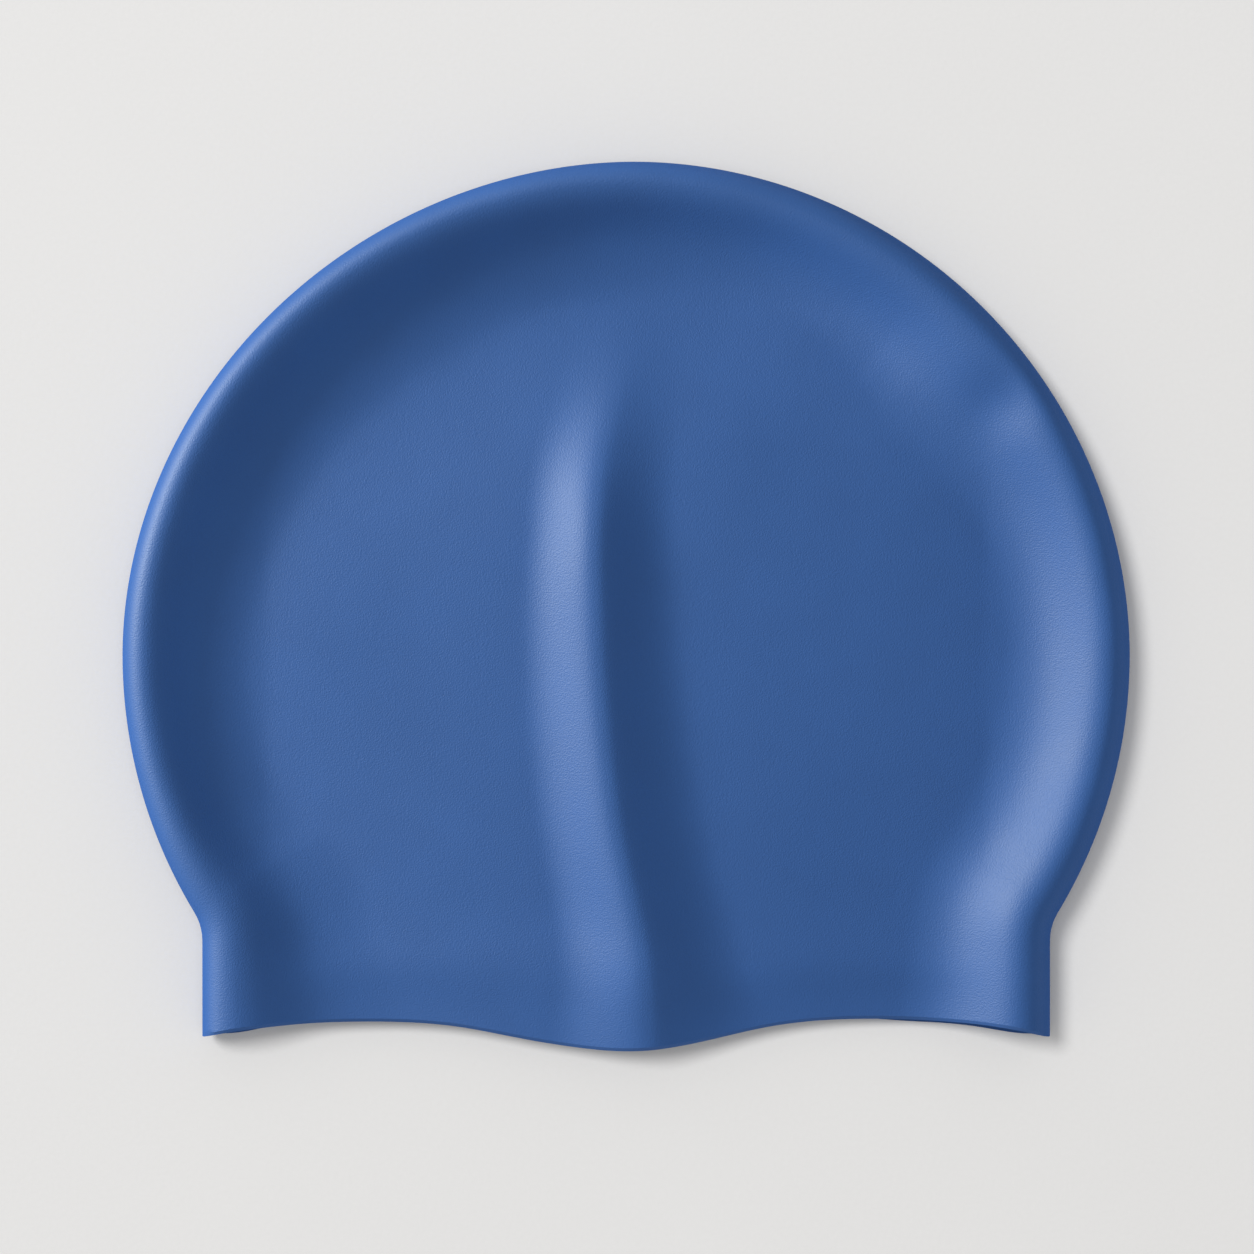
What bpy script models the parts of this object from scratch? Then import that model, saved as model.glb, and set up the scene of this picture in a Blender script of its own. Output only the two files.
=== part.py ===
"""Swim cap of moulded silicone, lying flat.

One piece of silicone, folded flat on itself: a flat lower sheet, a fold that stands up as a
rounded rim all round, and an upper sheet that sinks between the rim and carries one long ridge.
It is open at the hem. Lengths are in metres, +Z is up, +X runs across the cap and +Y towards
its crown. The origin is on the surface that the cap lies on, under the middle of its outline.
"""

import math

import bmesh
import bpy
from mathutils import Vector

# Outline, seen from above
DOME_HALF_WIDTH = 0.1120    # middle to the fold at the widest line
CROWN_RISE = 0.1097         # widest line up to the crown
DOME_DROP = 0.1112          # lower half axis of the dome's ellipse
CROWN_LEAN = 0.0011         # crown to the right of the middle
BAND_INSET = 0.0177         # side of the band behind the dome's widest point
NECK_RADIUS = 0.0120        # hollow corner between dome and band
BAND_HEIGHT = 0.0214        # hollow corner down to the corners of the hem
HEM_WAVE = 0.0068           # lowest point of the hem's lobe up to the tops of its arches
CROWN_POWER = 1.965         # 2 is a true ellipse, less is a little more pointed
NECK_HALVINGS = 60          # steps that close in on where the hollow corner leaves the dome

# Silicone wall
WALL = 0.0010

# Heights over the surface below
FOLD_HEIGHT = 0.0058        # fold line, where the two sheets meet
RIM_HEIGHT = 0.0155         # top of the rim
PLATEAU_HEIGHT = 0.0075     # upper sheet at the foot of the rim
PLATEAU_BULGE = 0.0020      # upper sheet's rise from there to the middle
RIDGE_HEIGHT = 0.0064       # ridge over the upper sheet
HEM_STRIP_LIFT = 0.0006     # strip along the hem over the sheet beside it

# Widths of the forms, seen from above
RIM_INSET = 0.0050          # fold line to the top of the rim
FLANK_WIDTH = 0.0240        # top of the rim to its inner foot
UNDER_INSET = 0.0062        # fold line to where the lower sheet lies flat
RIDGE_FOOT = 0.0200         # crest of the ridge to its foot
RIDGE_ROUNDING = 0.0016     # soft turn at the ridge's crest
RIDGE_POWER = 1.6           # above 1 the ridge's flanks are steepest at its crest
HEM_STRIP_WIDTH = 0.0115    # strip along the hem
HEM_STRIP_EASE = 0.0100     # slope that leads up to the strip
DENT_RADIUS = 0.0110        # small dent by the rim
DENT_DEPTH = 0.0016

# How finely the shapes are divided
BAND_STEPS = 6
NECK_STEPS = 3
DOME_STEPS = 30
RIM_STEPS = 5
UNDER_STEPS = 3
RIDGE_SIDE_COLUMNS = 14
LOWER_SIDE_COLUMNS = 8
CROWN_STATIONS = 4          # the rows end this many stations of the fold line below the crown
COLUMN_SPREAD = 1.3         # above 1 the columns stand closer together at the ridge
DIRECTION_SMOOTHING = 8     # rounds that ease the directions into the cap
DIRECTION_WEIGHT = 2.0      # weight of a direction beside its two neighbours

# Finish
SILICONE_COLOUR = (0.048, 0.125, 0.345, 1.0)
SILICONE_ROUGHNESS = 0.5

# Hem line: place across as a share of the band's half width, height as a share of HEM_WAVE
HEM_LINE = (
    # across, height
    (-1.00, 0.00),
    (-0.86, 0.28),
    (-0.57, 0.54),
    (-0.40, 0.34),
    (-0.26, -0.05),
    (-0.02, -0.46),
    (0.20, -0.08),
    (0.34, 0.34),
    (0.53, 0.57),
    (0.77, 0.44),
    (1.00, 0.00),
)

# Rim: place as a share of the way from hem to crown, shares of the rim's rise, of FLANK_WIDTH and
# of RIM_INSET
RIM_SECTIONS = (
    # way, rise, flank, inset
    (0.00, 0.88, 1.24, 1.50),
    (0.08, 0.91, 1.22, 1.42),
    (0.14, 0.94, 1.18, 1.22),
    (0.30, 1.00, 1.00, 1.00),
    (0.75, 1.00, 1.00, 0.96),
    (1.00, 1.00, 1.10, 0.92),
)

# Inner flank of the rim: share of its width, share of the drop that is still left
FLANK_CURVE = (
    # across, left
    (0.00, 1.00),
    (0.10, 0.95),
    (0.24, 0.77),
    (0.40, 0.52),
    (0.58, 0.27),
    (0.78, 0.08),
    (1.00, 0.00),
)

# Ridge: way down from crown to hem, crest as a share of DOME_HALF_WIDTH, share of RIDGE_HEIGHT,
# and its left and right feet as shares of RIDGE_FOOT
RIDGE_SECTIONS = (
    # down, crest, height, left, right
    (0.16, 0.005, 0.00, 0.60, 0.60),
    (0.27, -0.022, 0.22, 0.65, 0.73),
    (0.33, -0.048, 0.62, 0.74, 0.88),
    (0.41, -0.068, 1.00, 0.78, 1.00),
    (0.52, -0.070, 1.00, 0.78, 1.05),
    (0.70, -0.042, 1.00, 0.80, 1.20),
    (0.80, -0.014, 0.96, 0.90, 1.20),
    (0.91, 0.029, 0.78, 1.05, 1.22),
    (1.00, 0.039, 0.46, 1.20, 1.45),
)

# Dents: angle round the dome in degrees from +X, share of the rim's width inwards from the fold,
# shares of DENT_RADIUS and DENT_DEPTH
DENTS = (
    # angle, inwards, radius, depth
    (37.0, 0.46, 1.00, 1.00),
    (52.0, 0.62, 1.10, 0.40),
)

# Places that follow from the sizes above
BAND_HALF_WIDTH = DOME_HALF_WIDTH - BAND_INSET


def ease(share):
    """Smooth step from 0 to 1."""
    share = min(1.0, max(0.0, share))
    return share * share * (3.0 - 2.0 * share)


def read_table(table, place, column):
    """Value of one column at a place, on a smooth curve through the table's rows."""
    rows = len(table)
    if place <= table[0][0]:
        return table[0][column]
    if place >= table[-1][0]:
        return table[-1][column]
    row = max(index for index in range(rows - 1) if table[index][0] <= place)

    def slope(index):
        before = max(index - 1, 0)
        after = min(index + 1, rows - 1)
        run = table[after][0] - table[before][0]
        return (table[after][column] - table[before][column]) / run

    span = table[row + 1][0] - table[row][0]
    share = (place - table[row][0]) / span
    square = share * share
    cube = square * share
    return (
        (2.0 * cube - 3.0 * square + 1.0) * table[row][column]
        + (cube - 2.0 * square + share) * span * slope(row)
        + (3.0 * square - 2.0 * cube) * table[row + 1][column]
        + (cube - square) * span * slope(row + 1)
    )


def ellipse_below(angle):
    """Point of the dome below its widest line, and the outward direction there."""
    point = Vector((DOME_HALF_WIDTH * math.cos(angle), -DOME_DROP * math.sin(angle)))
    outward = Vector((math.cos(angle) / DOME_HALF_WIDTH, -math.sin(angle) / DOME_DROP))
    return point, outward.normalized()


def neck_angle():
    """Angle on the lower ellipse where the hollow corner leaves the dome."""
    low = 0.0
    high = math.pi / 2.0
    for _ in range(NECK_HALVINGS):
        middle = (low + high) / 2.0
        point, outward = ellipse_below(middle)
        if point.x + NECK_RADIUS * outward.x > BAND_HALF_WIDTH + NECK_RADIUS:
            low = middle
        else:
            high = middle
    return (low + high) / 2.0


def crown_point(angle):
    """Point of the dome above its widest line."""
    power = 2.0 / CROWN_POWER
    across = DOME_HALF_WIDTH * max(math.cos(angle), 0.0) ** power
    up = CROWN_RISE * max(math.sin(angle), 0.0) ** power
    return Vector((across, up))


NECK_ANGLE = neck_angle()
NECK_POINT, NECK_OUTWARD = ellipse_below(NECK_ANGLE)
NECK_CENTRE = NECK_POINT + NECK_RADIUS * NECK_OUTWARD
HEM_LEVEL = NECK_CENTRE.y - BAND_HEIGHT
LOBE_LEVEL = HEM_LEVEL + HEM_WAVE * min(height for across, height in HEM_LINE)
WIDEST_LINE = -(CROWN_RISE + LOBE_LEVEL) / 2.0


def right_outline():
    """Fold line of the right half, from the hem's corner to the crown."""
    points = []
    for step in range(BAND_STEPS):
        points.append(Vector((BAND_HALF_WIDTH, HEM_LEVEL + BAND_HEIGHT * step / BAND_STEPS)))
    sweep = math.atan2(-NECK_OUTWARD.y, NECK_OUTWARD.x)
    for step in range(NECK_STEPS):
        angle = math.pi - sweep * step / NECK_STEPS
        turn = Vector((math.cos(angle), math.sin(angle)))
        points.append(NECK_CENTRE + NECK_RADIUS * turn)
    whole = NECK_ANGLE + math.pi / 2.0
    for step in range(DOME_STEPS + 1):
        angle = whole * step / DOME_STEPS - NECK_ANGLE
        points.append(ellipse_below(-angle)[0] if angle < 0.0 else crown_point(angle))
    return points


def fold_line():
    """Whole fold line, from the left corner of the hem over the crown to the right one."""
    right = right_outline()
    left = [Vector((-point.x, point.y)) for point in right[:-1]]
    points = left + right[::-1]
    for point in points:
        point.x += CROWN_LEAN * max(point.y / CROWN_RISE, 0.0) ** 2
        point.y += WIDEST_LINE
    return points


def inward_directions(points):
    """Direction from each point of the fold line into the cap, eased along the line."""
    last = len(points) - 1
    directions = []
    for index in range(len(points)):
        run = points[min(index + 1, last)] - points[max(index - 1, 0)]
        directions.append(Vector((run.y, -run.x)).normalized())
    directions[0] = Vector((1.0, 0.0))
    directions[last] = Vector((-1.0, 0.0))
    for _ in range(DIRECTION_SMOOTHING):
        eased = list(directions)
        for index in range(1, last):
            near = directions[index - 1] + directions[index + 1]
            eased[index] = (near + DIRECTION_WEIGHT * directions[index]).normalized()
        directions = eased
    return directions


def ways_to_crown(points):
    """Share of the way from hem to crown at each point of the fold line."""
    lengths = [0.0]
    for before, after in zip(points, points[1:]):
        lengths.append(lengths[-1] + (after - before).length)
    half = lengths[-1] / 2.0
    return [1.0 - abs(length / half - 1.0) for length in lengths]


def way_down(y):
    """Share of the way from the crown down to the corners of the hem."""
    return (WIDEST_LINE + CROWN_RISE - y) / (CROWN_RISE - HEM_LEVEL)


def ridge_crest(y):
    """Place across of the ridge's crest."""
    return DOME_HALF_WIDTH * read_table(RIDGE_SECTIONS, way_down(y), 1)


def ridge_lift(x, y):
    """Height of the ridge over the upper sheet."""
    down = way_down(y)
    beside = x - ridge_crest(y)
    foot = RIDGE_FOOT * read_table(RIDGE_SECTIONS, down, 3 if beside < 0.0 else 4)
    away = math.sqrt(beside * beside + RIDGE_ROUNDING ** 2) - RIDGE_ROUNDING
    share = min(away / foot, 1.0)
    return RIDGE_HEIGHT * read_table(RIDGE_SECTIONS, down, 2) * (1.0 - share) ** RIDGE_POWER


def dent_depth(x, y):
    """Depth of the small dents at a place."""
    depth = 0.0
    for angle, inwards, radius, share in DENTS:
        turn = math.radians(angle)
        reach = 1.0 - inwards * (RIM_INSET + FLANK_WIDTH) / DOME_HALF_WIDTH
        centre_x = reach * DOME_HALF_WIDTH * math.cos(turn)
        centre_y = WIDEST_LINE + reach * CROWN_RISE * math.sin(turn)
        away = math.hypot(x - centre_x, y - centre_y)
        depth += DENT_DEPTH * share * ease(1.0 - away / (DENT_RADIUS * radius))
    return depth


def sheet_height(x, y):
    """Outer face of the upper sheet, away from the rim."""
    across = x / (DOME_HALF_WIDTH - RIM_INSET - FLANK_WIDTH)
    bulge = PLATEAU_BULGE * max(1.0 - across * across, 0.0)
    over_strip = y - WIDEST_LINE - HEM_LEVEL - HEM_STRIP_WIDTH
    strip = HEM_STRIP_LIFT * ease(1.0 - over_strip / HEM_STRIP_EASE)
    return PLATEAU_HEIGHT + bulge + ridge_lift(x, y) + strip


def wave_hem(x, y):
    """Move a point near the hem up or down with the hem's wave."""
    share = ease((NECK_CENTRE.y + WIDEST_LINE - y) / BAND_HEIGHT)
    across = min(1.0, max(-1.0, x / BAND_HALF_WIDTH))
    return y + share * HEM_WAVE * read_table(HEM_LINE, across, 1)


def rim_rings(points, inwards, ways):
    """Rings of the upper sheet from just inside the fold line to the inner foot of the rim."""
    rings = []
    for step in range(1, RIM_STEPS + 1):
        turn = math.pi / 2.0 * step / RIM_STEPS
        ring = []
        for point, inward, way in zip(points, inwards, ways):
            rise = (RIM_HEIGHT - FOLD_HEIGHT) * read_table(RIM_SECTIONS, way, 1)
            inset = RIM_INSET * read_table(RIM_SECTIONS, way, 3)
            place = point + inward * inset * (1.0 - math.cos(turn))
            ring.append(Vector((place.x, place.y, FOLD_HEIGHT + rise * math.sin(turn))))
        rings.append(ring)
    for across, left in FLANK_CURVE[1:]:
        ring = []
        for point, inward, way in zip(points, inwards, ways):
            top = FOLD_HEIGHT + (RIM_HEIGHT - FOLD_HEIGHT) * read_table(RIM_SECTIONS, way, 1)
            width = FLANK_WIDTH * read_table(RIM_SECTIONS, way, 2)
            inset = RIM_INSET * read_table(RIM_SECTIONS, way, 3)
            place = point + inward * (inset + width * across)
            sheet = sheet_height(place.x, place.y)
            height = sheet + (top - sheet) * left - dent_depth(place.x, place.y)
            ring.append(Vector((place.x, place.y, height)))
        rings.append(ring)
    return rings


def under_rings(points, inwards):
    """Rings of the lower sheet from just inside the fold line to where it lies flat."""
    rings = []
    for step in range(1, UNDER_STEPS + 1):
        turn = math.pi / 2.0 * step / UNDER_STEPS
        ring = []
        for point, inward in zip(points, inwards):
            place = point + inward * UNDER_INSET * (1.0 - math.cos(turn))
            ring.append(Vector((place.x, place.y, FOLD_HEIGHT * (1.0 - math.sin(turn)))))
        rings.append(ring)
    return rings


def add_ring(mesh, places):
    """Vertices at the given places, moved with the hem's wave."""
    return [mesh.verts.new((place.x, wave_hem(place.x, place.y), place.z)) for place in places]


def bridge(mesh, first, second, turned):
    """Quads between two rows of vertices, with their faces turned over where that is asked."""
    for index in range(len(first) - 1):
        corners = (first[index], first[index + 1], second[index + 1], second[index])
        mesh.faces.new(corners[::-1] if turned else corners)


def fill_sheet(mesh, places, ring, side_columns, spread, height, upper):
    """Rows of quads from side to side inside the innermost ring, closed under the crown."""
    last_row = len(ring) // 2 - CROWN_STATIONS
    before = None
    for index in range(last_row + 1):
        left = places[index]
        right = places[-1 - index]
        crest = ridge_crest(left.y)
        row = [ring[index]]
        for column in range(1 - side_columns, side_columns):
            share = abs(column) / side_columns
            edge = left if column < 0 else right
            x = crest + (edge.x - crest) * share ** spread
            row += add_ring(mesh, [Vector((x, left.y, height(x, left.y)))])
        row.append(ring[-1 - index])
        if before:
            bridge(mesh, before, row, not upper)
        before = row
    arch = ring[last_row + 1:len(ring) - 1 - last_row]
    corners = before + arch[::-1]
    face = mesh.faces.new(corners if upper else corners[::-1])
    bmesh.ops.triangulate(mesh, faces=[face])


def cap_skin(mesh):
    """Outer face of the whole cap, open at the hem."""
    points = fold_line()
    inwards = inward_directions(points)
    ways = ways_to_crown(points)
    fold = add_ring(mesh, [Vector((point.x, point.y, FOLD_HEIGHT)) for point in points])
    outer = fold
    for places in rim_rings(points, inwards, ways):
        inner = add_ring(mesh, places)
        bridge(mesh, outer, inner, True)
        outer = inner
    fill_sheet(mesh, places, outer, RIDGE_SIDE_COLUMNS, COLUMN_SPREAD, sheet_height, True)
    outer = fold
    for places in under_rings(points, inwards):
        inner = add_ring(mesh, places)
        bridge(mesh, outer, inner, False)
        outer = inner
    fill_sheet(mesh, places, outer, LOWER_SIDE_COLUMNS, 1.0, lambda x, y: 0.0, False)


def silicone():
    """Satin blue silicone."""
    material = bpy.data.materials.new("silicone")
    material.use_nodes = True
    shader = material.node_tree.nodes["Principled BSDF"]
    shader.inputs["Base Color"].default_value = SILICONE_COLOUR
    shader.inputs["Roughness"].default_value = SILICONE_ROUGHNESS
    shader.inputs["Metallic"].default_value = 0.0
    return material


def main():
    for thing in list(bpy.data.objects):
        bpy.data.objects.remove(thing, do_unlink=True)
    mesh = bmesh.new()
    cap_skin(mesh)
    shape = bpy.data.meshes.new("cap_shell")
    mesh.to_mesh(shape)
    mesh.free()
    shape.shade_smooth()
    cap = bpy.data.objects.new("cap_shell", shape)
    cap.data.materials.append(silicone())
    bpy.context.collection.objects.link(cap)
    wall = cap.modifiers.new("wall", "SOLIDIFY")
    wall.thickness = WALL
    wall.offset = -1.0
    wall.use_even_offset = True
    wall.use_quality_normals = True


main()
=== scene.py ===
# %% [markdown]
# # A silicone swim cap, lying flat
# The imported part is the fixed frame: it says where the cap lies and how large it is. This lesson
# models the same cap again with finer faces, gives it the satin finish of moulded silicone, and
# lights it like a small product set. The real cap is one moulding, folded flat on itself: a flat
# lower sheet, a fold that stands up as a rounded rim, and an upper sheet that sinks between the
# rim and carries one long ridge. All lengths are in metres.

import math

import bpy
import numpy as np
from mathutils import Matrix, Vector


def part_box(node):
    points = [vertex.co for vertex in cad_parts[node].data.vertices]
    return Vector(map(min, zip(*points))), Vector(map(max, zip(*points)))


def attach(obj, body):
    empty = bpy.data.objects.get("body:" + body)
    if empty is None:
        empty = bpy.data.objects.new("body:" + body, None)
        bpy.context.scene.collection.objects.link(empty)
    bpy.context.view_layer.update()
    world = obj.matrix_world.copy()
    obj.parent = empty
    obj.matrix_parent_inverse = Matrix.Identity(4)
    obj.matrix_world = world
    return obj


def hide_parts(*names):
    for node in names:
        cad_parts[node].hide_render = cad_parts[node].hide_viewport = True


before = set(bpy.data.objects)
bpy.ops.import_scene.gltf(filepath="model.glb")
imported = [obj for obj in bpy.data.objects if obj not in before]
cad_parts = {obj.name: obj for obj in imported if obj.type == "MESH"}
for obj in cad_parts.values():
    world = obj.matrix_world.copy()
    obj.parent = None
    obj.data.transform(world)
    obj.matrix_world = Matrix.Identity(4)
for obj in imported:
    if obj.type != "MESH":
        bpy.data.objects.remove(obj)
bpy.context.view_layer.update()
cap_low, cap_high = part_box("cap_shell")
print("frame:", sorted(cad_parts), "box", [round(c, 4) for c in (*cap_low, *cap_high)])

# %% [markdown]
# ## Tools for working by hand from a script
# By hand, one picks vertices or faces with the mouse. A script could count on their numbers, but
# those change with every operator. So it picks them by their place, with a test that each of them
# passes or fails. Everything is deselected first, because an operator acts on all that is selected.

# %% Picking by place
def start_clean():
    """Leave edit mode and deselect every object."""
    if bpy.context.mode != "OBJECT":
        bpy.ops.object.mode_set(mode="OBJECT")
    bpy.ops.object.select_all(action="DESELECT")


def work_on(piece):
    """Make one object the only selected and active one."""
    start_clean()
    piece.select_set(True)
    bpy.context.view_layer.objects.active = piece


def pick(piece, kind, test):
    """Select the vertices, edges or faces of a piece that pass a test, and enter edit mode."""
    work_on(piece)
    mesh = piece.data
    bpy.context.tool_settings.mesh_select_mode = [kind == name for name in ("VERT", "EDGE", "FACE")]
    for parts in (mesh.vertices, mesh.edges, mesh.polygons):
        parts.foreach_set("select", [False] * len(parts))
    parts = {"VERT": mesh.vertices, "EDGE": mesh.edges, "FACE": mesh.polygons}[kind]
    chosen = [bool(test(part)) for part in parts]
    parts.foreach_set("select", chosen)
    bpy.ops.object.mode_set(mode="EDIT")
    return sum(chosen)


def read_places(piece):
    """Places of a piece's vertices, one row each."""
    flat = np.empty(len(piece.data.vertices) * 3, np.float32)
    piece.data.vertices.foreach_get("co", flat)
    return flat.reshape(-1, 3).astype(float)


def put_places(piece, places):
    """Move a piece's vertices to new places."""
    piece.data.vertices.foreach_set("co", places.astype(np.float32).ravel())
    piece.data.update()


start_clean()

# %% [markdown]
# ## The fold line
# Seen from above, the cap's outline is the line where the silicone turns over. It has a round
# crown, a fuller lower half, a small hollow corner at each side of the neck and a short straight
# band. It could be traced with a curve, point by point. A circle needs only a few sizes and stays
# smooth, so it is the start here: its upper and lower halves are stretched by different amounts,
# its bottom is cut off, and each cut end is spun through the hollow corner and drawn down along
# the band. The widths come from the frame's box.

# %% Sizes of the outline
HALF_WIDTH = (cap_high.x - cap_low.x) / 2.0
CROWN_Y = cap_high.y
CROWN_RISE = 0.1097         # widest line up to the crown
DOME_DROP = 0.1112          # lower half axis of the dome
CROWN_LEAN = 0.0018         # crown to the right of the middle
CROWN_POWER = 1.965         # 2 is a true ellipse, less is a little more pointed
BAND_INSET = 0.0177         # side of the band behind the dome's widest point
NECK_RADIUS = 0.0120        # hollow corner between dome and band
BAND_HEIGHT = 0.0214        # hollow corner down to the corners of the hem
FOLD_HEIGHT = 0.0058        # fold line over the surface below

WIDEST_Y = CROWN_Y - CROWN_RISE
BAND_HALF_WIDTH = HALF_WIDTH - BAND_INSET
print("half width", round(HALF_WIDTH, 5), "widest at y", round(WIDEST_Y, 5))

# %% Where the hollow corner leaves the dome
HALVINGS = 60               # steps that close in on the place


def lower_dome(angle):
    """Point of the dome below its widest line, and the outward direction there."""
    point = Vector((HALF_WIDTH * math.cos(angle), -DOME_DROP * math.sin(angle)))
    outward = Vector((math.cos(angle) / HALF_WIDTH, -math.sin(angle) / DOME_DROP))
    return point, outward.normalized()


def neck_turn():
    """Where the hollow corner leaves the dome, its centre and the angle it turns through."""
    low, high = 0.0, math.pi / 2.0
    for _ in range(HALVINGS):
        angle = (low + high) / 2.0
        point, outward = lower_dome(angle)
        if point.x + NECK_RADIUS * outward.x > BAND_HALF_WIDTH + NECK_RADIUS:
            low = angle
        else:
            high = angle
    centre = point + NECK_RADIUS * outward
    return WIDEST_Y + point.y, centre.x, WIDEST_Y + centre.y, math.atan2(-outward.y, outward.x)


NECK_Y, NECK_CENTRE_X, NECK_CENTRE_Y, NECK_SWEEP = neck_turn()
HEM_Y = NECK_CENTRE_Y - BAND_HEIGHT
print("the dome ends at y", round(NECK_Y, 5), "and the hem's corners are at", round(HEM_Y, 5))

# %% The fold line, from a circle
CIRCLE_POINTS = 420
NECK_STEPS = 5
BAND_STEPS = 13
SAME_PLACE = 1e-5           # two points nearer than this are in one place

start_clean()
middle = (0.0, WIDEST_Y, FOLD_HEIGHT)
bpy.ops.mesh.primitive_circle_add(
    vertices=CIRCLE_POINTS, radius=HALF_WIDTH, fill_type="NOTHING", location=middle
)
sheet = bpy.context.object
sheet.name = "upper_sheet"
bpy.ops.object.transform_apply(location=True, rotation=True, scale=True)

pick(sheet, "VERT", lambda vertex: vertex.co.y > WIDEST_Y + SAME_PLACE)
bpy.ops.transform.resize(value=(1.0, CROWN_RISE / HALF_WIDTH, 1.0), center_override=middle)
pick(sheet, "VERT", lambda vertex: vertex.co.y < WIDEST_Y - SAME_PLACE)
bpy.ops.transform.resize(value=(1.0, DOME_DROP / HALF_WIDTH, 1.0), center_override=middle)

pick(sheet, "VERT", lambda vertex: True)
bpy.ops.mesh.bisect(plane_co=(0.0, NECK_Y, FOLD_HEIGHT), plane_no=(0.0, 1.0, 0.0), clear_inner=True)
for side in (1, -1):
    pick(sheet, "VERT", lambda vertex: vertex.co.y < NECK_Y + SAME_PLACE and vertex.co.x * side > 0)
    bpy.ops.mesh.spin(
        steps=NECK_STEPS, angle=-side * NECK_SWEEP, dupli=False,
        center=(side * NECK_CENTRE_X, NECK_CENTRE_Y, FOLD_HEIGHT), axis=(0.0, 0.0, 1.0),
    )
pick(sheet, "VERT", lambda vertex: vertex.co.y < NECK_CENTRE_Y + SAME_PLACE)
for _ in range(BAND_STEPS):
    step = (0.0, -BAND_HEIGHT / BAND_STEPS, 0.0)
    bpy.ops.mesh.extrude_region_move(TRANSFORM_OT_translate={"value": step})
start_clean()
print("fold line:", len(sheet.data.vertices), "points")

# %% [markdown]
# ## The crown
# The crown of the real cap is a touch more pointed than an ellipse and leans a little to the
# right. Proportional editing could pull one point up and aside. Its falloff isn't quite this
# curve, so the points above the widest line are moved in code, as with a soft brush.

# %% The crown's point and lean
places = read_places(sheet)
above = np.clip((places[:, 1] - WIDEST_Y) / CROWN_RISE, 0.0, 1.0)
across = places[:, 0] / HALF_WIDTH
upper_half = above > 0.0
power = 2.0 / CROWN_POWER
turned = np.sign(across) * np.abs(across) ** power
places[upper_half, 0] = HALF_WIDTH * turned[upper_half]
places[upper_half, 1] = WIDEST_Y + CROWN_RISE * above[upper_half] ** power
places[:, 0] += CROWN_LEAN * np.clip((places[:, 1] - WIDEST_Y) / CROWN_RISE, 0.0, 1.0) ** 2
put_places(sheet, places)
print("crown at y", round(float(places[:, 1].max()), 5))

# %% [markdown]
# ## One flat sheet of faces
# The upper sheet needs rings of faces that follow the fold, so that the rounded rim and its inner
# flank are smooth, and a plain grid inside them for the sunken part and the ridge. A single
# grid over the whole outline would leave the rim with jagged steps. The outline
# becomes one face. That face is raised a little on a standing wall, whose hem side is opened: an
# inset then keeps away from the hem, and each inset lays one ring along the fold. The inside is
# filled with a grid whose columns run from the hem up.

# %% From outline to face
RIM_RINGS = 8
FLANK_RINGS = 18
RIM_INSET = 0.0057          # fold line to the top of the rim
FLANK_WIDTH = 0.0260        # top of the rim to its inner foot
GUIDE_WALL = 0.0020         # standing wall that the insets need while the rings are laid
HEM_COLUMNS = 120

lowest = float(read_places(sheet)[:, 1].min())
pick(sheet, "VERT", lambda vertex: vertex.co.y < lowest + SAME_PLACE)
bpy.ops.mesh.edge_face_add()
bpy.ops.mesh.select_all(action="SELECT")
bpy.ops.mesh.edge_face_add()
start_clean()

corners = list(sheet.data.polygons[0].vertices)
places = read_places(sheet)
first = min(corners, key=lambda index: (round(places[index, 1], 5), places[index, 0]))
turn = corners.index(first)
corners = corners[turn:] + corners[:turn]
if places[corners[1], 1] < lowest + SAME_PLACE:
    corners = [corners[0]] + corners[:0:-1]
fold_line = places[corners, :2]
print("fold line:", len(fold_line), "points, from", fold_line[0].round(4), "to", fold_line[-1].round(4))

# %% Rings along the fold
SQUARE_ON = 0.99            # a normal this near to an axis points along it

pick(sheet, "FACE", lambda face: True)
bpy.ops.mesh.extrude_region_move(TRANSFORM_OT_translate={"value": (0.0, 0.0, GUIDE_WALL)})
pick(sheet, "FACE", lambda face: face.center.z < FOLD_HEIGHT + SAME_PLACE)
bpy.ops.mesh.delete(type="ONLY_FACE")
pick(sheet, "FACE", lambda face: abs(face.normal.y) > SQUARE_ON and face.center.y < lowest + SAME_PLACE)
bpy.ops.mesh.delete(type="ONLY_FACE")
pick(sheet, "FACE", lambda face: len(face.vertices) > 4)

insets = [RIM_INSET * (1.0 - math.cos(math.pi / 2.0 * step / RIM_RINGS)) for step in range(RIM_RINGS + 1)]
insets += [RIM_INSET + FLANK_WIDTH * (step + 1) / FLANK_RINGS for step in range(FLANK_RINGS)]
for outer, inner in zip(insets, insets[1:]):
    bpy.ops.mesh.inset(thickness=inner - outer, depth=0.0, use_boundary=False, use_even_offset=True)
pick(sheet, "VERT", lambda vertex: vertex.co.z < FOLD_HEIGHT + SAME_PLACE)
bpy.ops.mesh.delete(type="VERT")
start_clean()
print("rings:", len(insets) - 1, "faces so far", len(sheet.data.polygons))

# %% A grid inside the rings
inside = max(sheet.data.polygons, key=lambda face: len(face.vertices))
hem_corners = {index for index in inside.vertices if sheet.data.vertices[index].co.y < lowest + SAME_PLACE}
pick(sheet, "EDGE", lambda edge: set(edge.vertices) == hem_corners)
bpy.ops.mesh.subdivide(number_cuts=HEM_COLUMNS // 2 - 1)
bpy.ops.mesh.subdivide(number_cuts=1)
start_clean()

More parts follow.
